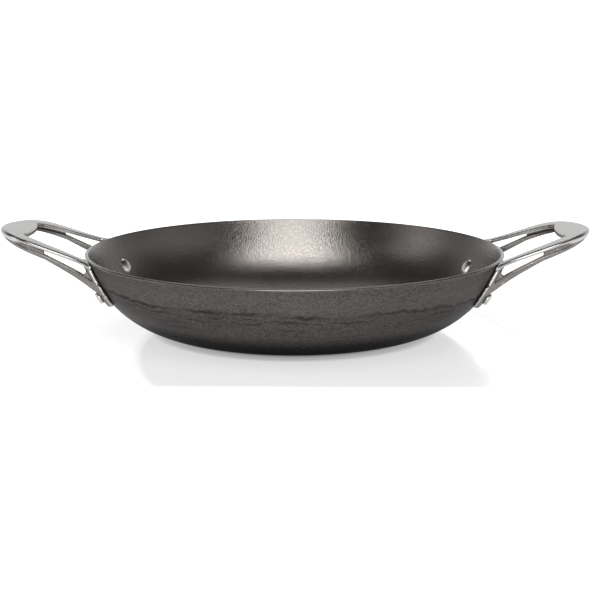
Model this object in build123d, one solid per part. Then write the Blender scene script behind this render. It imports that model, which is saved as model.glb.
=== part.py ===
from build123d import *
import os
from math import asin, cos, radians, sin, tan

# A shallow two-handled serving pan. The pan is one pressed sheet of steel. Two cast loop
# handles are held to the outside of its wall, each by two rivets.
# The origin is the centre of the flat base, +Z is up through the open rim, and +X points at
# the tip of the right handle. All lengths are millimetres and all angles degrees.

# Pan
rim_radius = 150.0
depth = 57.0            # base to the rim's outer corner
base_radius = 77.8
wall = 2.5
wall_lean = 22.5        # the straight upper wall leans out from the vertical by this much
rim_round = 0.7
overshoot = 30.0        # how far cutting tools carry the wall on above the rim

# Rivets
rivet_azimuth = 21.5    # from the X axis to the rivet, seen from above
rivet_dip = 31.5        # how far the rivet points below the horizontal
shank_radius = 2.5
hole_radius = 2.55
drill_length = 20.0
dome_radius = 6.4       # polished head inside the pan
dome_height = 1.7
dome_edge = 0.35
button_radius = 4.3     # formed head outside the handle
button_height = 2.9
button_round = 1.3
head_gap = 0.02         # keeps touching faces from crossing
head_foot = 1.2         # each head is made this much too deep, then trimmed to the curved sheet

# Handle, side view
reach = 210.8           # pan axis to handle tip
root_x = 125.0          # where the handle's blank starts, inside the pan
top_slope = 18.7        # the straight part of the top rises outward at this angle
rim_meet_x = 142.5      # the top is level with the rim here
bend_x = 178.0          # the top starts to level out here
tip_rise = 18.2         # tip of the top, above the rim
under_points = [(210.8, 15.2), (196.0, 9.9), (172.0, 0.8), (138.5, -18.0), (125.0, -25.8)]
bar_top_points = [(210.8, 18.0), (186.0, 8.6), (172.5, 4.2), (143.0, -10.2), (125.0, -19.5)]
flange_thick = 3.0
half_span = 65.0        # more than half the handle's width

# Handle, seen from above: one side of its outer edge, from the pan to the tip
edge_points = [(126.0, 59.4), (136.8, 58.0), (143.0, 54.0), (152.0, 50.0), (165.0, 48.0),
               (178.0, 46.6), (190.0, 42.7), (199.3, 34.4), (206.8, 20.2)]
window_points = [(187.0, 28.6), (177.0, 33.2), (165.0, 36.8), (153.0, 41.0), (136.0, 47.0)]
tongue_x = 187.3        # pan side of the tongue plate, on the centre line
tongue_corner = (189.0, 22.3)
corner_bulge = (189.6, 26.0)
edge_round = 1.4        # lower corner of the outer edge
bevel_down = 1.2        # the upper corner's bevel, measured down the side
bevel_across = 1.7      # and in across the top
window_round = 0.9      # upper corner of the finger opening
web_setback = 1.7
web_thick = 2.4
bar_width = 6.6
slot_x = (143.0, 172.5)
slot_round = 2.6
# Past the slot, the back of the outside hollow runs out to the handle's edge.
hollow_end = [(172.5, 45.6), (184.5, 43.7), (194.0, 39.9)]

# Riveting pads
pad_thick = 2.2
standoff = 1.4          # air between the pad and the wall, all round the boss
boss_radius = 5.2
seat_gap = 0.02         # between the boss and the wall
spot_radius = 4.9       # clear round the button head
pad_outline = [(59.0, -23.5), (58.2, -13.0), (54.5, -2.0), (43.0, -2.0), (45.2, -14.0), (45.2, -23.5)]
pad_bottom = (52.0, -30.9)

grip = standoff + pad_thick
upward = Align.CENTER, Align.CENTER, Align.MIN
lean = radians(wall_lean)
curve_radius = (rim_radius - base_radius - depth * tan(lean)) / (cos(lean) - tan(lean) * (1 - sin(lean)))


def from_rim(points):
    """Turn heights above the rim into heights above the base."""
    return [(across, depth + height) for across, height in points]


def wall_edges(offset, beyond=0.0):
    """The wall's half section, moved outward by offset: base, curve and straight wall."""
    radius = curve_radius + offset
    heel = (base_radius, -offset)
    shoulder = (base_radius + radius * cos(lean), curve_radius - radius * sin(lean))
    lip = (rim_radius + offset * cos(lean) + beyond * sin(lean),
           depth - offset * sin(lean) + beyond * cos(lean))
    edges = [
        Line((0, -offset), heel),
        CenterArc((base_radius, curve_radius), radius, -90, 90 - wall_lean),
        Line(shoulder, lip),
    ]
    return edges, lip


def spin(face):
    """Turn a half section in the XZ plane about the pan's axis."""
    return revolve(Plane.XZ * face, axis=Axis.Z)


def inside_of(offset):
    """Everything inside the wall's surface moved outward by offset, carried on above the rim."""
    edges, lip = wall_edges(offset, overshoot)
    centre = (0, lip[1])
    return spin(make_face(edges + [Line(lip, centre), Line(centre, (0, -offset))]))


def rivet_places():
    """Name and plane of each rivet: origin on the outside of the wall, +Z out of the pan."""
    dip = radians(rivet_dip)
    radius = base_radius + curve_radius * cos(dip)
    height = curve_radius * (1 - sin(dip))
    places = {}
    for side, end, azimuth in [
        ("right", "front", -rivet_azimuth),
        ("right", "rear", rivet_azimuth),
        ("left", "front", 180 + rivet_azimuth),
        ("left", "rear", 180 - rivet_azimuth),
    ]:
        turn = radians(azimuth)
        outward = Vector(cos(turn), sin(turn), 0)
        origin = outward * radius + Vector(0, 0, height)
        axis = outward * cos(dip) - Vector(0, 0, sin(dip))
        places[f"{side}_{end}"] = Plane(origin=origin, x_dir=(-sin(turn), cos(turn), 0), z_dir=axis)
    return places


def rivet_holes(side):
    """Drills for the rivets of one side."""
    drill = Cylinder(hole_radius, drill_length)
    return [place * drill for name, place in rivet_places().items() if name.startswith(side)]


def make_pan():
    """The pressed pan: one sheet, with a rounded rim and four rivet holes."""
    outer, outer_lip = wall_edges(0)
    inner, inner_lip = wall_edges(-wall)
    section = make_face(outer + inner + [Line(outer_lip, inner_lip), Line((0, 0), (0, wall))])
    rim_corners = section.vertices().sort_by(Axis.Y)[-2:]
    pan = spin(fillet(rim_corners, rim_round))
    for drill in rivet_holes("left") + rivet_holes("right"):
        pan -= drill
    return pan


def side_block(points, curve=None):
    """Extrude a closed side view across the whole handle."""
    face = make_face((curve or []) + [Polyline(*points)])
    return extrude(Plane.XZ * face, amount=half_span, both=True)


def top_curve(drop=0.0):
    """The handle's top line in side view, lowered by drop: straight, then levelling out."""
    slope = radians(top_slope)
    start = (root_x, depth - drop - (rim_meet_x - root_x) * tan(slope))
    bend = (bend_x, depth - drop + (bend_x - rim_meet_x) * tan(slope))
    tip = (reach, depth - drop + tip_rise)
    return [Line(start, bend), TangentArc(bend, tip, tangent=(cos(slope), sin(slope)))], start, tip


def handle_wedge():
    """The whole depth of the handle, between its top and its underside."""
    curve, start, tip = top_curve()
    return side_block([tip] + from_rim(under_points) + [start], curve)


def below_flange():
    """Everything below the top flange."""
    curve, start, tip = top_curve(flange_thick)
    return side_block([tip, (reach, 0), (root_x, 0), start], curve)


def above_bar():
    """Everything above the bottom bar."""
    return side_block(from_rim(bar_top_points) + [(root_x, 2 * depth), (reach, 2 * depth),
                                                  from_rim(bar_top_points)[0]])


def seen_from_above(inset=0.0):
    """The handle's outline from above, moved in by inset, as a tall prism."""
    mirrored = [(x, -y) for x, y in reversed(edge_points)]
    outline = Spline(*edge_points, (reach, 0), *mirrored)
    if inset:
        steps = 2 * len(edge_points)
        stations = [step / steps for step in range(steps + 1)]
        inward = [(outline % station).rotate(Axis.Z, -90) for station in stations]
        outline = Spline(*[outline @ station + turn * inset for station, turn in zip(stations, inward)])
    closing = Line(outline @ 1, outline @ 0)
    return extrude(make_face([outline, closing]), amount=2 * depth)


def window_cutter():
    """The finger opening between the arms, closed outward by the tongue plate."""
    edges = []
    for side in (1, -1):
        corner = (tongue_corner[0], side * tongue_corner[1])
        bulge = (corner_bulge[0], side * corner_bulge[1])
        points = [(x, side * y) for x, y in window_points]
        edges += [ThreePointArc(corner, bulge, points[0]), Spline(*points)]
    tongue = ThreePointArc((tongue_corner[0], -tongue_corner[1]), (tongue_x, 0), tongue_corner)
    x, y = window_points[-1]
    return extrude(make_face(edges + [tongue, Line((x, y), (x, -y))]), amount=2 * depth)


def outside_hollow(band):
    """The hollow outside the web, running out to nothing before the tip."""
    width = slot_x[1] - root_x
    strip = Pos(root_x + width / 2, 0, depth) * Box(width, 2 * half_span, 2 * depth)
    hollow = (strip & band) - seen_from_above(web_setback)
    for side in (1, -1):
        points = [(x, side * y) for x, y in hollow_end]
        corners = [(hollow_end[-1][0], side * half_span), (hollow_end[0][0], side * half_span)]
        ramp = extrude(make_face(Polyline(*points, *corners, close=True)), amount=2 * depth)
        hollow += ramp & band
    return hollow


def slot_cutter():
    """The long slot through each web, with a round end towards the pan."""
    inner_x, outer_x = slot_x
    slope = tan(radians(top_slope))
    lower = dict(from_rim(bar_top_points))
    points = [
        (outer_x, depth - flange_thick + (outer_x - rim_meet_x) * slope),
        (inner_x, depth - flange_thick + (inner_x - rim_meet_x) * slope),
        (inner_x, lower[inner_x]),
        (outer_x, lower[outer_x]),
    ]
    face = make_face(Polyline(*points, close=True))
    face = fillet(face.vertices().sort_by(Axis.X)[:2], slot_round)
    return extrude(Plane.XZ * face, amount=half_span, both=True)


def pads():
    """The two riveting pads: thin plates that follow the wall from the rim to below the rivet."""
    plates = []
    shell = inside_of(standoff + pad_thick)
    for side in (1, -1):
        points = [(side * y, z) for y, z in from_rim(pad_outline)]
        bottom = (side * pad_bottom[0], depth + pad_bottom[1])
        face = make_face([Polyline(*points), ThreePointArc(points[-1], bottom, points[0])])
        prism = extrude(Plane.YZ * face, amount=reach)
        plates.append(prism & shell)
    return plates


def edges_round(shape, facing):
    """The curved edges round the faces that face up (1) or down (-1)."""
    faces = [face for face in shape.faces() if face.normal_at().Z * facing > 0.5]
    return [edge for face in faces for edge in face.edges() if edge.geom_type == GeomType.BSPLINE]


def handle_blank():
    """The handle before it is hollowed: its edges are eased and the finger opening is cut."""
    blank = handle_wedge() & seen_from_above()
    blank = fillet(edges_round(blank, -1), edge_round)
    blank = chamfer(edges_round(blank, 1), bevel_down, bevel_across)
    blank -= window_cutter()
    inner = seen_from_above(bar_width)
    opening = [edge for edge in edges_round(blank, 1) if inner.is_inside(edge.position_at(0.5))]
    return fillet(opening, window_round)


def make_handle():
    """The right handle: one casting with a top flange, thin webs, bottom bars and two pads."""
    band = below_flange() & above_bar()
    handle = handle_blank()
    handle -= seen_from_above(bar_width) & below_flange()
    handle -= seen_from_above(web_setback + web_thick) & band
    handle -= outside_hollow(band)
    handle -= slot_cutter()
    for plate in pads():
        handle += plate
    handle -= inside_of(standoff)
    for name in ("right_front", "right_rear"):
        place = rivet_places()[name]
        boss = place * Cylinder(boss_radius, 2 * standoff)
        spot = place * Pos(0, 0, grip) * Cylinder(spot_radius, depth, align=upward)
        handle += boss - inside_of(seat_gap)
        handle -= spot
    for drill in rivet_holes("right"):
        handle -= drill
    return handle


def rivet_head(radius, height, edge):
    """A low spherical head from z = 0 up, with a short straight edge, on a foot below z = 0."""
    rise = height - edge
    sphere_radius = (radius ** 2 + rise ** 2) / (2 * rise)
    half_way = asin(radius / sphere_radius) / 2
    middle = (sphere_radius * sin(half_way), height - sphere_radius * (1 - cos(half_way)))
    section = make_face([
        Polyline((0, height), (0, -head_foot), (radius, -head_foot), (radius, edge)),
        ThreePointArc((radius, edge), middle, (0, height)),
    ])
    return spin(section)


def make_rivet(place):
    """One rivet: dome inside the pan, shank through both sheets, and button outside the pad."""
    shank_length = wall + grip + 2 * head_foot
    shank = place * Pos(0, 0, -wall - head_foot) * Cylinder(shank_radius, shank_length, align=upward)
    dome = mirror(rivet_head(dome_radius, dome_height, dome_edge), about=Plane.XY)
    dome = place * Pos(0, 0, -wall) * dome
    dome &= inside_of(-wall - head_gap)
    button = Cylinder(button_radius, button_height + head_foot, align=upward)
    button = fillet(button.edges().sort_by(Axis.Z)[-1], button_round)
    button = place * Pos(0, 0, grip - head_foot) * button
    button -= inside_of(grip + head_gap)
    return shank + dome + button


def main():
    os.makedirs("parts", exist_ok=True)
    handle = make_handle()
    nodes = {
        "pan_body": make_pan(),
        "handle_right": handle,
        "handle_left": mirror(handle, about=Plane.YZ),
    }
    for name, place in rivet_places().items():
        nodes[f"rivet_{name}"] = make_rivet(place)
    for name, shape in nodes.items():
        export_step(shape, f"parts/{name}.step")


main()
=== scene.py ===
from math import atan2, cos, hypot, radians, sin, tan, pi

import bmesh
import bpy
from mathutils import Matrix, Vector


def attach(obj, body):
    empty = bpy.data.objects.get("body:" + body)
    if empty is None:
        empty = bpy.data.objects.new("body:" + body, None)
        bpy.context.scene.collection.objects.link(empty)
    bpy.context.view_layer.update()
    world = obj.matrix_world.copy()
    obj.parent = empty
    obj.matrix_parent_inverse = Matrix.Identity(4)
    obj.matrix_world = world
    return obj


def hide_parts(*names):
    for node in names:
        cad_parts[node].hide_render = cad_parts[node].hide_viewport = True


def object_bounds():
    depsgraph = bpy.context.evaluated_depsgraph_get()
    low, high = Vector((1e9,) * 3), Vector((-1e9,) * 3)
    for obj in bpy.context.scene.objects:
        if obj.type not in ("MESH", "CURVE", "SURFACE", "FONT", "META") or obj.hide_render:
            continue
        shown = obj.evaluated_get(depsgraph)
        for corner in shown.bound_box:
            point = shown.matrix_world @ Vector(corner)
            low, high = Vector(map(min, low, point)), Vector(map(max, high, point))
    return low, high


# The looks of a two-handled serving pan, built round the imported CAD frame. Metres throughout.
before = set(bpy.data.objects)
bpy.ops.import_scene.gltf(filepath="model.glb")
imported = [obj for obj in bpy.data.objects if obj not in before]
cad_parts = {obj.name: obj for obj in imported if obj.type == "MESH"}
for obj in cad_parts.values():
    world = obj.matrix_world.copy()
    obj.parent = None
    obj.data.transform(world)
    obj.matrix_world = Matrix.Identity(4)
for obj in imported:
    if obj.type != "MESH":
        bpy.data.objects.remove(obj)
CAD_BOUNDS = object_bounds()

# Pan, the same sizes as the frame's pan_body
RIM_RADIUS = 0.150
DEPTH = 0.057
BASE_RADIUS = 0.0778
WALL = 0.0025
WALL_LEAN = radians(22.5)
RIM_ROUND = 0.0007
PAN_SEGMENTS = 360
ON_AXIS = 1e-7              # a profile point nearer the axis than this is one vertex
# Radius of the wall's lower curve, which meets the flat base and the straight upper wall smoothly
WALL_CURVE = (RIM_RADIUS - BASE_RADIUS - DEPTH * tan(WALL_LEAN)) / (
    cos(WALL_LEAN) - tan(WALL_LEAN) * (1 - sin(WALL_LEAN)))

# Rivets
RIVET_AZIMUTH = radians(21.5)
RIVET_DIP = radians(31.5)
DOME_RADIUS = 0.0064
DOME_HEIGHT = 0.0017
DOME_EDGE = 0.0002
DOME_CROWN = 2.7            # 2 makes a parabola, more makes it flatter on top
BUTTON_RADIUS = 0.0043
BUTTON_HEIGHT = 0.0029
BUTTON_ROUND = 0.0013
BUTTON_CROWN = 0.0002       # how far the middle of the button stands above its rounded corner
BUTTON_TIP = 0.0015         # radius of the button's nearly flat middle
SHANK_RADIUS = 0.0025
PAD_OUTSIDE = 0.0036        # outer face of the pad, off the pan's wall
BUTTON_SINK = 0.0003        # the button's foot goes this far into the pad
DOME_SINK = 0.0002          # the dome's foot goes this far into the wall
RIVET_SEGMENTS = 64

# Handles
HANDLE_VOXEL = 0.00037
HANDLE_SMOOTHING = 22       # smoothing steps, which round every edge off
BAR_WIDTH = 0.0066
WEB_SIDES = 0.0017, 0.0041  # the web's outer and inner faces, in from the handle's outline
BAR_NARROWING = 0.0005      # how far each side of a bar leans in from its foot to its top
BAR_START, BAR_START_RUN = 0.136, 0.006     # where the leaning starts, and how far it takes to grow
BAR_END, BAR_END_RUN = 0.192, 0.012         # where it ends, and how far it takes to fade
BAR_MARGIN = 0.0005         # whatever is further than this over a bar's top line is left alone
# One half of the handle: its outline seen from above, and its bars' foot and top seen from the side
OUTLINE = [(0.1260, 0.0594), (0.1368, 0.0580), (0.1430, 0.0540), (0.1520, 0.0500), (0.1650, 0.0480),
           (0.1780, 0.0466), (0.1900, 0.0427), (0.1993, 0.0344), (0.2068, 0.0202), (0.2108, 0.0)]
BAR_FOOT = [(0.1250, 0.0312), (0.1385, 0.0390), (0.1720, 0.0578), (0.1960, 0.0669), (0.2108, 0.0722)]
BAR_TOP = [(0.1250, 0.0375), (0.1430, 0.0468), (0.1725, 0.0612), (0.1860, 0.0656), (0.2108, 0.0750)]
FLANGE_FOOT = [(0.1250, 0.0481), (0.1780, 0.0660), (0.1900, 0.0690), (0.2108, 0.0722)]
CAST_AND_SHADE_TO = 0.203             # the dull casting and its painted shade under the flange end here, short of the polished tip
PAD_INSIDE = 0.0014         # the pad's inner face, off the pan's wall
PAD_SEAT = 0.0003           # it is drawn in this near to the wall
PAD_EDGE = 0.0019           # and nothing further off the wall than this moves with it
PAD_LINE = 0.0025           # below the flange, the polished steel, without painted shade, reaches this far off the wall
TONGUE_WALL = 0.1860, 0.1925    # where the tongue plate's upright edge lies, along the handle
TONGUE_HALF = 0.030         # and how far it reaches to each side
# The handle is turned this way while it is remeshed, so that no edge runs along the voxels
HANDLE_SLANT = Matrix.Rotation(radians(33), 4, "X") @ Matrix.Rotation(radians(37), 4, "Z")

# The floor: a glossy patch under the pan, its glow dimmed as painted shade, a long oval with a straight
# front edge
GLOSS_CENTRE = 0.026, -0.060
GLOSS_HALF_WIDTH = 0.132
GLOSS_SQUEEZE = 0.65        # the oval's width over its length, which runs front to back
GLOSS_FRONT = -0.168
GLOSS_EDGE = 0.004          # half the width of its soft edge
SHADE_CORE, SHADE_EDGE = 0.080, 0.093   # the pan's contact shade, from its axis

# Outside wall: the main heat line's height and half width, and the fainter lines below it. Each of
# those has its drop below the main line, its half width, its weight and its patches per metre.
HEAT_LINE = 0.0385
HEAT_WIDTH = 0.0016
LOWER_LINES = [(0.0040, 0.0010, 0.75, 44.0), (0.0072, 0.0008, 0.65, 38.0),
               (0.0104, 0.0009, 0.50, 51.0), (0.0145, 0.0008, 0.40, 29.0)]
HEAT_WANDER = 0.016         # the band of heights that slow noise bends the lines over
HEAT_FRAY = 0.0085          # the band that fine noise frays them over
COOL_FROM, COOL_TO = 0.048, 0.054       # the wall darkens again between these heights, below the rim
BASE_SHADE_FULL, BASE_SHADE_NONE = 0.005, 0.022     # painted shade darkens the belly fully below the first height and not at all above the second

# Camera
VIEW_ELEVATION = radians(11.57)
VIEW_TURN = radians(0.95)
VIEW_DISTANCE = 1.0985
VIEW_LENS = 90.88
SENSOR = 36.0
AIM = Vector((0.0039, 0.0, 0.0205))


# ---------------------------------------------------------------- meshes

def new_object(name, mesh):
    """Put a mesh in the scene."""
    piece = bpy.data.objects.new(name, mesh)
    bpy.context.scene.collection.objects.link(piece)
    return piece


def arc(centre, radius, start, end, steps):
    """Points along an arc in the (radius, height) plane."""
    points = []
    for step in range(steps + 1):
        angle = start + (end - start) * step / steps
        points.append((centre[0] + radius * cos(angle), centre[1] + radius * sin(angle)))
    return points


def line(start, end, steps):
    """Points along a straight run, without its two ends."""
    return [
        (start[0] + (end[0] - start[0]) * step / steps, start[1] + (end[1] - start[1]) * step / steps)
        for step in range(1, steps)
    ]


def lathe(name, profile, zones, segments):
    """Turn an open profile, from axis to axis, about Z. zones holds each ring gap's material index."""
    bm = bmesh.new()
    turns = [2 * pi * k / segments for k in range(segments)]
    rings = []
    for radius, height in profile:
        if radius < ON_AXIS:
            rings.append([bm.verts.new((0.0, 0.0, height))])
        else:
            rings.append([bm.verts.new((radius * cos(turn), radius * sin(turn), height)) for turn in turns])
    for low, high, zone in zip(rings, rings[1:], zones):
        for k in range(segments):
            corners = [low[k % len(low)], low[(k + 1) % len(low)]]
            corners += [high[(k + 1) % len(high)], high[k % len(high)]]
            face = bm.faces.new(list(dict.fromkeys(corners)))
            face.material_index = zone
            face.smooth = True
    bmesh.ops.recalc_face_normals(bm, faces=bm.faces)
    mesh = bpy.data.meshes.new(name)
    bm.to_mesh(mesh)
    bm.free()
    return new_object(name, mesh)


def wall_run(offset, rim_gap):
    """The wall's section from the axis to just below the rim, moved outward by offset."""
    centre = (BASE_RADIUS, WALL_CURVE)
    floor = [(BASE_RADIUS * share, -offset) for share in (0.0, 0.25, 0.5, 0.75, 0.93)]
    curve = arc(centre, WALL_CURVE + offset, -pi / 2, -WALL_LEAN, 40)
    lip = Vector((RIM_RADIUS + offset * cos(WALL_LEAN), DEPTH - offset * sin(WALL_LEAN)))
    end = lip - rim_gap * Vector((sin(WALL_LEAN), cos(WALL_LEAN)))
    return floor + curve + line(curve[-1], end, 6) + [tuple(end)]


def make_pan():
    """The pressed pan: outside, rounded rim and inside, as one closed skin."""
    outside = wall_run(0.0, RIM_ROUND)
    inside = wall_run(-WALL, RIM_ROUND)
    outward = Vector((cos(WALL_LEAN), -sin(WALL_LEAN)))
    outer_centre = Vector(outside[-1]) - outward * RIM_ROUND
    inner_centre = Vector(inside[-1]) + outward * RIM_ROUND
    rim = arc(outer_centre, RIM_ROUND, -WALL_LEAN, pi / 2 - WALL_LEAN, 6)[1:]
    rim += arc(inner_centre, RIM_ROUND, pi / 2 - WALL_LEAN, pi - WALL_LEAN, 6)
    profile = outside + rim + inside[:-1][::-1]
    zones = [0] * (len(outside) - 1) + [1] * len(rim) + [2] * (len(inside) - 1)
    return lathe("pan", profile, zones, PAN_SEGMENTS)


def rivet_matrix(side, end):
    """Place of a rivet: origin on the outside of the wall, +Z pointing out of the pan."""
    azimuth = atan2(end * sin(RIVET_AZIMUTH), side * cos(RIVET_AZIMUTH))
    outward = Vector((cos(azimuth), sin(azimuth), 0.0))
    origin = outward * (BASE_RADIUS + WALL_CURVE * cos(RIVET_DIP))
    origin.z = WALL_CURVE * (1 - sin(RIVET_DIP))
    axis = outward * cos(RIVET_DIP) - Vector((0.0, 0.0, sin(RIVET_DIP)))
    return Matrix.Translation(origin) @ axis.to_track_quat("Z", "Y").to_matrix().to_4x4()


def dome_profile():
    """The low dome inside the pan, from its top on the axis out to its edge."""
    top, edge = -WALL - DOME_HEIGHT, -WALL - DOME_EDGE
    shares = [0.0] + [sin(radians(degrees)) for degrees in range(8, 90, 6)]
    crown = [(DOME_RADIUS * share, edge + (top - edge) * (1.0 - share ** DOME_CROWN)) for share in shares]
    return crown + [(DOME_RADIUS, edge), (DOME_RADIUS, -WALL + DOME_SINK)]


def button_profile():
    """The formed button outside the pad, from its foot in to its top on the axis."""
    top = PAD_OUTSIDE + BUTTON_HEIGHT
    corner = (BUTTON_RADIUS - BUTTON_ROUND, top - BUTTON_ROUND - BUTTON_CROWN)
    tip = (BUTTON_TIP, top - BUTTON_CROWN / 5)
    return [(BUTTON_RADIUS, PAD_OUTSIDE - BUTTON_SINK)] + arc(corner, BUTTON_ROUND, 0, pi / 2, 7) + [
        tip, (0.0, top)]


def make_rivet(name, side, end):
    """One solid rivet: low dome inside the pan, shank, and rounded button outside the pad."""
    shank = [(SHANK_RADIUS, -WALL + DOME_SINK), (SHANK_RADIUS, PAD_OUTSIDE - BUTTON_SINK)]
    profile = dome_profile() + shank + button_profile()
    piece = lathe(name, profile, [0] * (len(profile) - 1), RIVET_SEGMENTS)
    piece.data.transform(rivet_matrix(side, end))
    return piece


def along(points, x):
    """Height of a line of points at x."""
    for (x_from, y_from), (x_to, y_to) in zip(points, points[1:]):
        if x <= x_to:
            return y_from + (y_to - y_from) * (x - x_from) / (x_to - x_from)
    return points[-1][1]


def clamp(value):
    """Hold a value between 0 and 1."""
    return min(max(value, 0.0), 1.0)


def off_wall(point):
    """How far a point stands off the pan's outside wall, and the way out from the wall there."""
    radius = hypot(point.x, point.y)
    if point.z > WALL_CURVE * (1 - sin(WALL_LEAN)):
        out, up = cos(WALL_LEAN), -sin(WALL_LEAN)
        distance = (radius - RIM_RADIUS) * out + (point.z - DEPTH) * up
    else:
        reach = hypot(radius - BASE_RADIUS, point.z - WALL_CURVE)
        out, up = (radius - BASE_RADIUS) / reach, (point.z - WALL_CURVE) / reach
        distance = reach - WALL_CURVE
    return distance, Vector((out * point.x / radius, out * point.y / radius, up))


def seat_pads(mesh):
    """Draw the pads' inner faces in to the wall, so that their edges close on it."""
    for vertex in mesh.vertices:
        distance, outward = off_wall(vertex.co)
        if distance < PAD_EDGE:
            share = clamp((distance - PAD_INSIDE) / (PAD_EDGE - PAD_INSIDE))
            vertex.co += outward * (PAD_SEAT + share * (PAD_EDGE - PAD_SEAT) - distance)


def mark_cast_and_shaded_faces(mesh):
    """Give everything below the flange, and the tongue's edge, the second material: a rougher casting whose
    darker colour is painted shade.
    """
    for face in mesh.polygons:
        x, y, z = abs(face.center.x), abs(face.center.y), face.center.z
        below = z < along(FLANGE_FOOT, x) and x < CAST_AND_SHADE_TO and off_wall(face.center)[0] > PAD_LINE
        tongue = TONGUE_WALL[0] < x < TONGUE_WALL[1] and y < TONGUE_HALF and abs(face.normal.z) < 0.5
        if below or tongue:
            face.material_index = 1


def round_bars(mesh):
    """Lean both sides of the bottom bars in towards their tops, as a rounded bar's sides do."""
    for vertex in mesh.vertices:
        x, y, z = abs(vertex.co.x), abs(vertex.co.y), vertex.co.z
        foot, top = along(BAR_FOOT, x), along(BAR_TOP, x)
        if z > top + BAR_MARGIN:
            continue
        fade = clamp((x - BAR_START) / BAR_START_RUN) * clamp((BAR_END - x) / BAR_END_RUN)
        share = clamp((z - foot) / (top - foot)) * fade * BAR_NARROWING
        inward = along(OUTLINE, x) - y
        outer = clamp((WEB_SIDES[0] - inward) / WEB_SIDES[0])
        inner = clamp((inward - WEB_SIDES[1]) / (BAR_WIDTH - WEB_SIDES[1]))
        vertex.co.y += (inner - outer) * share * (1 if vertex.co.y > 0 else -1)


def make_handle(name):
    """The cast handle: the frame's shape remeshed fine, its edges and corners eased as a casting's are.

    It is remeshed at a slant, so that no edge runs along the voxels and every edge comes out even.
    """
    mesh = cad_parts[name].data.copy()
    mesh.name = name + "_casting"
    bm = bmesh.new()
    bm.from_mesh(mesh)
    bmesh.ops.remove_doubles(bm, verts=bm.verts, dist=1e-6)
    bmesh.ops.transform(bm, matrix=HANDLE_SLANT, verts=bm.verts)
    bm.to_mesh(mesh)
    bm.free()
    rough = new_object(name + "_rough", mesh)
    voxels = rough.modifiers.new("Voxels", "REMESH")
    voxels.mode = "VOXEL"
    voxels.voxel_size = HANDLE_VOXEL
    voxels.adaptivity = 0.0
    ease = rough.modifiers.new("Ease", "SMOOTH")
    ease.factor = 0.5
    ease.iterations = HANDLE_SMOOTHING
    made = bpy.data.meshes.new_from_object(rough.evaluated_get(bpy.context.evaluated_depsgraph_get()))
    made.name = name + "_casting"
    made.materials.clear()
    made.transform(HANDLE_SLANT.inverted())
    round_bars(made)
    seat_pads(made)
    mark_cast_and_shaded_faces(made)
    made.polygons.foreach_set("use_smooth", [True] * len(made.polygons))
    bpy.data.objects.remove(rough)
    return new_object(name + "_casting", made)


# ---------------------------------------------------------------- materials

RANGE_SOCKETS = "From Min", "From Max", "To Min", "To Max"


class Nodes:
    """Short calls for one material's node tree."""

    def __init__(self, name):
        self.material = bpy.data.materials.new(name)
        self.material.use_nodes = True
        self.tree = self.material.node_tree
        self.shader = self.tree.nodes["Principled BSDF"]
        self.place = self.add("ShaderNodeTexCoord").outputs["Object"]

    def add(self, kind, **settings):
        """A new node with these settings."""
        node = self.tree.nodes.new(kind)
        for key, value in settings.items():
            setattr(node, key, value)
        return node

    def link(self, source, target):
        """Wire one socket to another."""
        self.tree.links.new(source, target)

    def axis(self, name):
        """One object coordinate: X, Y or Z."""
        split = self.add("ShaderNodeSeparateXYZ")
        self.link(self.place, split.inputs[0])
        return split.outputs[name]

    def stretched(self, scale):
        """Object coordinates times a scale for each axis."""
        mapping = self.add("ShaderNodeMapping")
        mapping.inputs["Scale"].default_value = scale
        self.link(self.place, mapping.inputs["Vector"])
        return mapping.outputs["Vector"]

    def noise(self, scale, detail=2.0, stretch=(1, 1, 1), roughness=0.5):
        """A noise value; scale is in features per metre."""
        node = self.add("ShaderNodeTexNoise")
        node.inputs["Scale"].default_value = scale
        node.inputs["Detail"].default_value = detail
        node.inputs["Roughness"].default_value = roughness
        self.link(self.stretched(stretch), node.inputs["Vector"])
        return node.outputs["Fac"]

    def math(self, operation, a, b=0.0):
        """One step of arithmetic; a and b are numbers or sockets."""
        node = self.add("ShaderNodeMath", operation=operation)
        for socket, value in zip(node.inputs, (a, b)):
            if isinstance(value, (int, float)):
                socket.default_value = value
            else:
                self.link(value, socket)
        return node.outputs[0]

    def remap(self, value, low, high, to_low, to_high):
        """Clamped straight-line change of range."""
        node = self.add("ShaderNodeMapRange")
        self.link(value, node.inputs["Value"])
        for socket, number in zip(RANGE_SOCKETS, (low, high, to_low, to_high)):
            node.inputs[socket].default_value = number
        return node.outputs["Result"]

    def mix(self, share, low, high):
        """Colour mix; low and high are colours or sockets. The node's colours are inputs 6 and 7."""
        node = self.add("ShaderNodeMix", data_type="RGBA")
        self.link(share, node.inputs["Factor"])
        for socket, value in ((node.inputs[6], low), (node.inputs[7], high)):
            if isinstance(value, tuple):
                socket.default_value = (*value, 1.0)
            else:
                self.link(value, socket)
        return node.outputs[2]

    def bump(self, height, distance):
        """A normal bent by height, a 0 to 1 value that stands for distance in metres."""
        node = self.add("ShaderNodeBump")
        node.inputs["Distance"].default_value = distance
        self.link(height, node.inputs["Height"])
        return node.outputs["Normal"]

    def openness(self, reach):
        """1 on open faces, less in hollows and creases narrower than reach."""
        node = self.add("ShaderNodeAmbientOcclusion", samples=8)
        node.inputs["Distance"].default_value = reach
        return node.outputs["AO"]

    def heat_line(self, height, level, width):
        """1 where height is at level, falling to 0 at width away."""
        return self.remap(self.math("ABSOLUTE", self.math("SUBTRACT", height, level)), 0.0, width, 1.0, 0.0)

    def finish(self, colour, roughness, normal, metallic, edge=None):
        """Wire the shader up; edge is how bright a metal's grazing reflections are."""
        self.link(colour, self.shader.inputs["Base Color"])
        self.link(roughness, self.shader.inputs["Roughness"])
        self.link(normal, self.shader.inputs["Normal"])
        self.shader.inputs["Metallic"].default_value = metallic
        if edge:
            self.shader.inputs["Specular Tint"].default_value = (edge, edge, edge, 1.0)
        return self.material


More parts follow.
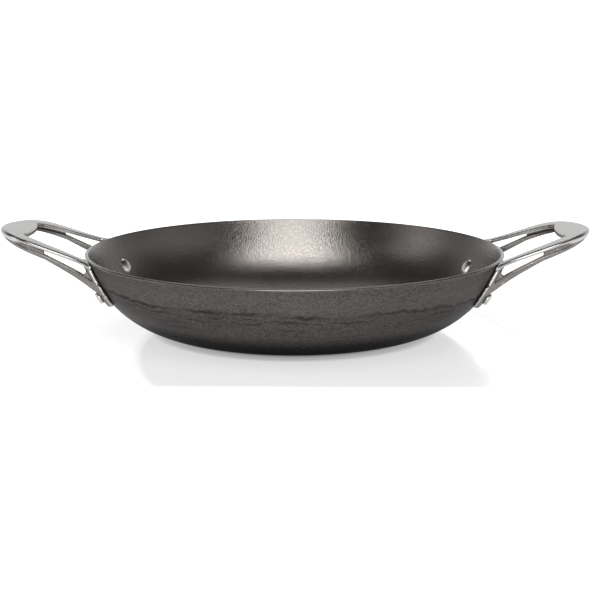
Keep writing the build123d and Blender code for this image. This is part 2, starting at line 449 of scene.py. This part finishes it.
def outside_iron():
    """Blued iron: mottled charcoal, with ragged heat lines round the wall and painted shade on the belly
    near the floor.
    """
    n = Nodes("outside_iron")
    coarse = n.noise(210.0, 4.0, (1, 1, 2.6), 0.65)
    grain = n.noise(760.0, 2.0, (1, 1, 2.0), 0.6)
    clouds = n.noise(24.0, 4.0, (1, 1, 2.5))
    z = n.axis("Z")

    # Heat lines: level lines of height, bent by slow noise and frayed by fine noise
    slow = n.math("SUBTRACT", n.noise(11.0, 2.0), 0.5)
    fray = n.math("SUBTRACT", n.noise(150.0, 5.0, (1, 1, 1), 0.62), 0.5)
    bent = n.math("ADD", z, n.math("MULTIPLY", slow, HEAT_WANDER))
    frayed = n.math("ADD", bent, n.math("MULTIPLY", fray, HEAT_FRAY))
    strength = n.remap(n.noise(34.0, 2.0), 0.36, 0.58, 0.25, 1.0)
    main_line = n.heat_line(frayed, HEAT_LINE, HEAT_WIDTH)
    upper = n.remap(frayed, HEAT_LINE - 0.0003, HEAT_LINE + 0.0004, 0.0, 1.0)
    dark = n.math("MULTIPLY", main_line, n.math("MULTIPLY", strength, 0.92))
    for drop, width, weight, patches in LOWER_LINES:
        where = n.remap(n.noise(patches, 2.0), 0.44, 0.60, 0.0, weight)
        lower_line = n.math("MULTIPLY", n.heat_line(frayed, HEAT_LINE - drop, width), where)
        dark = n.math("MAXIMUM", dark, lower_line)

    shade = n.mix(n.remap(clouds, 0.32, 0.68, 0.0, 1.0), (0.059, 0.0547, 0.0525), (0.075, 0.0695, 0.0668))
    shade = n.mix(n.remap(n.noise(48.0, 3.0), 0.46, 0.66, 0.0, 0.45), shade, (0.044, 0.049, 0.042))
    shade = n.mix(n.remap(n.noise(57.0, 3.0), 0.50, 0.68, 0.0, 0.45), shade, (0.056, 0.047, 0.053))
    shade = n.mix(n.math("MULTIPLY", upper, 0.55), shade, (0.105, 0.0985, 0.0955))
    shade = n.mix(n.remap(bent, COOL_FROM, COOL_TO, 0.0, 0.50), shade, (0.052, 0.0490, 0.0470))
    shade = n.mix(n.remap(coarse, 0.40, 0.66, 0.0, 0.75), shade, (0.044, 0.0415, 0.040))
    shade = n.mix(n.remap(grain, 0.42, 0.70, 0.0, 0.75), shade, (0.154, 0.145, 0.142))
    # Painted shade: the colour darkens towards the base, where the belly curves under to the floor
    base_shade = n.remap(z, BASE_SHADE_FULL, BASE_SHADE_NONE, 1.0, 0.0)
    shade = n.mix(base_shade, shade, (0.006, 0.0058, 0.0055))
    colour = n.mix(dark, shade, (0.017, 0.016, 0.015))
    roughness = n.remap(n.math("ADD", grain, dark), 0.3, 1.2, 0.36, 0.50)
    height = n.math("ADD", grain, n.math("MULTIPLY", coarse, 1.3))
    normal = n.bump(height, 0.00008)
    # Painted shade: near the base the belly's reflections are dimmed too, by a darker edge tint and a lower
    # specular level
    n.link(n.mix(base_shade, (0.5, 0.5, 0.5), (0.06, 0.06, 0.06)), n.shader.inputs["Specular Tint"])
    n.link(n.remap(base_shade, 0.0, 1.0, 0.5, 0.05), n.shader.inputs["Specular IOR Level"])
    return n.finish(colour, roughness, normal, 0.9)


def inside_iron():
    """Seasoned inside: satin, with a fine grain drawn up the wall, and painted shade towards the rim."""
    n = Nodes("inside_iron")
    pebbles = n.noise(950.0, 2.0, (1, 1, 0.62))
    hair = n.noise(1700.0, 2.0, (1, 1, 0.30))
    cloud = n.noise(22.0, 3.0)
    colour = n.mix(n.remap(cloud, 0.3, 0.7, 0.0, 1.0), (0.122, 0.1130, 0.1065), (0.144, 0.1335, 0.1260))
    colour = n.mix(n.remap(hair, 0.38, 0.66, 0.0, 0.60), colour, (0.066, 0.061, 0.057))
    colour = n.mix(n.remap(pebbles, 0.40, 0.62, 0.35, 0.0), colour, (0.060, 0.055, 0.051))
    # Painted shade: the inside wall darkens towards the rim, where the lamp's reflection is fainter
    colour = n.mix(n.remap(n.axis("Z"), 0.032, 0.056, 0.0, 0.45), colour, (0.060, 0.055, 0.051))
    roughness = n.remap(cloud, 0.3, 0.7, 0.165, 0.20)
    height = n.math("ADD", pebbles, n.math("MULTIPLY", hair, 0.5))
    normal = n.bump(height, 0.00018)
    return n.finish(colour, roughness, normal, 0.9)


def rim_iron():
    """The rim: smoother than the outside, rougher than the inside, and patchy with wear."""
    n = Nodes("rim_iron")
    wear = n.noise(180.0, 3.0)
    colour = n.mix(n.remap(wear, 0.35, 0.65, 0.0, 1.0), (0.078, 0.073, 0.069), (0.108, 0.101, 0.097))
    roughness = n.remap(wear, 0.3, 0.7, 0.20, 0.26)
    normal = n.bump(n.noise(600.0), 0.00002)
    return n.finish(colour, roughness, normal, 0.85)


def handle_steel():
    """Satin-polished cast stainless steel, with faint polishing streaks, soft unevenness and painted shade
    in its hollows.
    """
    n = Nodes("handle_steel")
    cloud = n.noise(55.0, 3.0)
    streaks = n.noise(900.0, 2.0, (0.12, 1, 1))
    colour = n.mix(n.remap(cloud, 0.3, 0.7, 0.0, 1.0), (0.41, 0.404, 0.396), (0.47, 0.463, 0.454))
    # Painted shade: the colour darkens in hollows and creases narrower than 2 mm, such as the slots and the
    # gap by the pan
    colour = n.mix(n.remap(n.openness(0.0020), 0.15, 0.42, 0.85, 0.0), colour, (0.10, 0.096, 0.090))
    roughness = n.remap(n.math("ADD", cloud, n.math("MULTIPLY", streaks, 0.5)), 0.45, 1.0, 0.20, 0.28)
    height = n.math("ADD", n.math("MULTIPLY", cloud, 2.0), n.math("MULTIPLY", streaks, 0.12))
    normal = n.bump(height, 0.00010)
    return n.finish(colour, roughness, normal, 1.0, 0.75)


def cast_steel_painted_shade():
    """The handle below its flange: rougher than the polished top, its colour darkened as painted shade,
    with painted shade in the hollows and a painted highlight on the edges.
    """
    n = Nodes("cast_steel_painted_shade")
    sand = n.noise(700.0, 3.0)
    # Painted shade: this steel is far darker than the polished top, for the shade under the flange and on
    # the tongue's edge
    colour = n.mix(n.remap(sand, 0.35, 0.65, 0.0, 1.0), (0.165, 0.157, 0.148), (0.210, 0.200, 0.189))
    edges = n.add("ShaderNodeNewGeometry").outputs["Pointiness"]
    # Painted highlight: convex edges are lightened, as where they catch the floor's reflection
    colour = n.mix(n.remap(edges, 0.51, 0.56, 0.0, 0.8), colour, (0.46, 0.452, 0.442))
    # Painted shade: the colour darkens in hollows and creases narrower than 2.2 mm
    colour = n.mix(n.remap(n.openness(0.0022), 0.30, 0.80, 0.85, 0.0), colour, (0.055, 0.051, 0.047))
    roughness = n.remap(sand, 0.3, 0.7, 0.28, 0.38)
    return n.finish(colour, roughness, n.bump(sand, 0.00006), 0.9, 0.6)


def rivet_steel():
    """Bright rivets, lightly scuffed."""
    n = Nodes("rivet_steel")
    scuffs = n.noise(500.0, 3.0)
    colour = n.mix(n.remap(scuffs, 0.3, 0.7, 0.0, 1.0), (0.50, 0.488, 0.475), (0.60, 0.590, 0.575))
    roughness = n.remap(scuffs, 0.3, 0.7, 0.14, 0.24)
    normal = n.bump(scuffs, 0.00005)
    return n.finish(colour, roughness, normal, 1.0)


def floor_material():
    """Pale lit table: gloss round the pan, matt further out."""
    n = Nodes("pale_floor")
    haze = n.noise(3.0, 2.0)
    colour = n.mix(haze, (0.45, 0.45, 0.45), (0.47, 0.47, 0.47))
    reach = n.add("ShaderNodeVectorMath", operation="DISTANCE")
    n.link(n.stretched((1.0, GLOSS_SQUEEZE, 1.0)), reach.inputs[0])
    reach.inputs[1].default_value = (GLOSS_CENTRE[0], GLOSS_CENTRE[1] * GLOSS_SQUEEZE, 0.0)
    past_front = n.remap(n.axis("Y"), GLOSS_FRONT - GLOSS_EDGE, GLOSS_FRONT + GLOSS_EDGE, 1.0, 0.0)
    inner, outer = GLOSS_HALF_WIDTH - GLOSS_EDGE, GLOSS_HALF_WIDTH + GLOSS_EDGE
    matt = n.math("MAXIMUM", past_front, n.remap(reach.outputs["Value"], inner, outer, 0.0, 1.0))
    from_pan = n.add("ShaderNodeVectorMath", operation="LENGTH")
    n.link(n.place, from_pan.inputs[0])
    distance = from_pan.outputs["Value"]
    roughness = n.remap(matt, 0.0, 1.0, 0.12, 1.0)
    # Painted shade: the lit table's glow is lower in the glossy patch and near the pan than further out
    glow = n.math("ADD", n.remap(matt, 0.0, 1.0, 0.64, 0.82), n.remap(distance, 0.24, 0.42, 0.0, 0.5))
    # Painted shadow: the glow dims in creases, where the pan's foot meets the table
    glow = n.math("MULTIPLY", glow, n.remap(n.openness(0.005), 0.3, 0.9, 0.60, 1.0))
    # Painted shadow: no glow within the pan's contact shade
    glow = n.math("MULTIPLY", glow, n.remap(distance, SHADE_CORE, SHADE_EDGE, 0.0, 1.0))
    n.link(glow, n.shader.inputs["Emission Strength"])
    n.link(colour, n.shader.inputs["Base Color"])
    n.link(roughness, n.shader.inputs["Roughness"])
    n.shader.inputs["Specular IOR Level"].default_value = 0.5
    n.shader.inputs["Emission Color"].default_value = (1.0, 1.0, 1.0, 1.0)
    return n.material


# ---------------------------------------------------------------- studio

def make_floor():
    """A wide pale floor under the pan."""
    bm = bmesh.new()
    bmesh.ops.create_grid(bm, x_segments=8, y_segments=8, size=60.0)
    mesh = bpy.data.meshes.new("floor")
    bm.to_mesh(mesh)
    bm.free()
    floor = new_object("floor", mesh)
    floor.location.z = CAD_BOUNDS[0].z - 0.0002
    mesh.materials.append(floor_material())
    return floor


def soft_light(name, azimuth, elevation, distance, width, height, power, subjects=()):
    """A rectangular soft box aimed at the pan. Azimuth 0 is behind the camera, 90 on the right.

    Where subjects are given, as by flags round the lamp, it lights only those.
    """
    data = bpy.data.lights.new(name, "AREA")
    data.shape = "RECTANGLE"
    data.size = width
    data.size_y = height
    data.energy = power
    lamp = bpy.data.objects.new(name, data)
    bpy.context.scene.collection.objects.link(lamp)
    a, e = radians(azimuth), radians(elevation)
    lamp.location = Vector((sin(a) * cos(e), -cos(a) * cos(e), sin(e))) * distance
    lamp.rotation_euler = (-lamp.location).to_track_quat("-Z", "Y").to_euler()
    if subjects:
        lamp.light_linking.receiver_collection = bpy.data.collections.new(name + "_subjects")
        for subject in subjects:
            lamp.light_linking.receiver_collection.objects.link(subject)


def make_world():
    """A studio: white backdrop low down behind the pan, dimmer to the sides, nearly dark overhead."""
    world = bpy.data.worlds.new("studio")
    world.use_nodes = True
    bpy.context.scene.world = world
    tree = world.node_tree
    coordinates = tree.nodes.new("ShaderNodeTexCoord")
    split = tree.nodes.new("ShaderNodeSeparateXYZ")
    tree.links.new(coordinates.outputs["Generated"], split.inputs[0])

    def ramp(axis, low, high, to_low, to_high):
        """Clamped straight-line change along one axis of the sky's direction."""
        node = tree.nodes.new("ShaderNodeMapRange")
        tree.links.new(split.outputs[axis], node.inputs["Value"])
        for socket, number in zip(RANGE_SOCKETS, (low, high, to_low, to_high)):
            node.inputs[socket].default_value = number
        return node.outputs["Result"]

    backdrop = ramp("Y", 0.68, 0.92, 0.78, 1.32)
    overhead = ramp("Z", 0.27, 0.50, 0.0, 1.0)
    mix = tree.nodes.new("ShaderNodeMix")
    tree.links.new(overhead, mix.inputs["Factor"])
    tree.links.new(backdrop, mix.inputs["A"])
    mix.inputs["B"].default_value = 0.06
    background = tree.nodes["Background"]
    tree.links.new(mix.outputs["Result"], background.inputs["Strength"])
    background.inputs["Color"].default_value = (1.0, 1.0, 1.0, 1.0)


def make_camera():
    """The camera, looking about twelve degrees down, a degree off the pan's own front."""
    data = bpy.data.cameras.new("camera")
    data.lens = VIEW_LENS
    data.sensor_width = SENSOR
    data.clip_start = 0.01
    data.clip_end = 50.0
    camera = bpy.data.objects.new("camera", data)
    bpy.context.scene.collection.objects.link(camera)
    turn = Matrix.Rotation(VIEW_TURN, 3, "Z")
    back = Vector((0.0, -cos(VIEW_ELEVATION), sin(VIEW_ELEVATION)))
    camera.location = turn @ (AIM + back * VIEW_DISTANCE)
    camera.rotation_euler = (turn @ -back).to_track_quat("-Z", "Y").to_euler()
    bpy.context.scene.camera = camera


def dress(piece, materials):
    """Give a piece its materials, in the order of its faces' material indices."""
    for material in materials:
        piece.data.materials.append(material)


def main():
    """Build the pan, its fittings, the studio and the camera."""
    pan = make_pan()
    dress(pan, [outside_iron(), rim_iron(), inside_iron()])
    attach(pan, "root")
    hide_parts("pan_body")

    steels = [handle_steel(), cast_steel_painted_shade()]
    fittings = []
    for node in ("handle_left", "handle_right"):
        handle = make_handle(node)
        dress(handle, steels)
        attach(handle, "root")
        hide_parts(node)
        fittings.append(handle)

    bright = rivet_steel()
    for side_name, side in (("left", -1), ("right", 1)):
        for end_name, end in (("front", -1), ("rear", 1)):
            node = f"rivet_{side_name}_{end_name}"
            rivet = make_rivet(node + "_solid", side, end)
            dress(rivet, [bright])
            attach(rivet, "root")
            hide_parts(node)
            fittings.append(rivet)

    floor = make_floor()
    make_world()
    # Name, azimuth, elevation, distance, width, height and power, and what it lights if not everything
    soft_light("key", 3, 49, 2.2, 1.6, 2.6, 110, [pan])
    soft_light("fittings_key", -1, 48, 2.2, 1.7, 2.5, 40, fittings)
    soft_light("floor_key", -1, 48, 2.2, 1.7, 2.5, 24, [floor])
    soft_light("left_fill", -88, 28, 2.4, 1.0, 1.4, 7.3)
    soft_light("right_fill", 78, 28, 2.4, 2.1, 1.4, 5.2)
    soft_light("top_back", 180, 48, 2.2, 1.5, 1.2, 7)
    make_camera()
    bpy.context.scene.view_settings.view_transform = "Standard"


main()
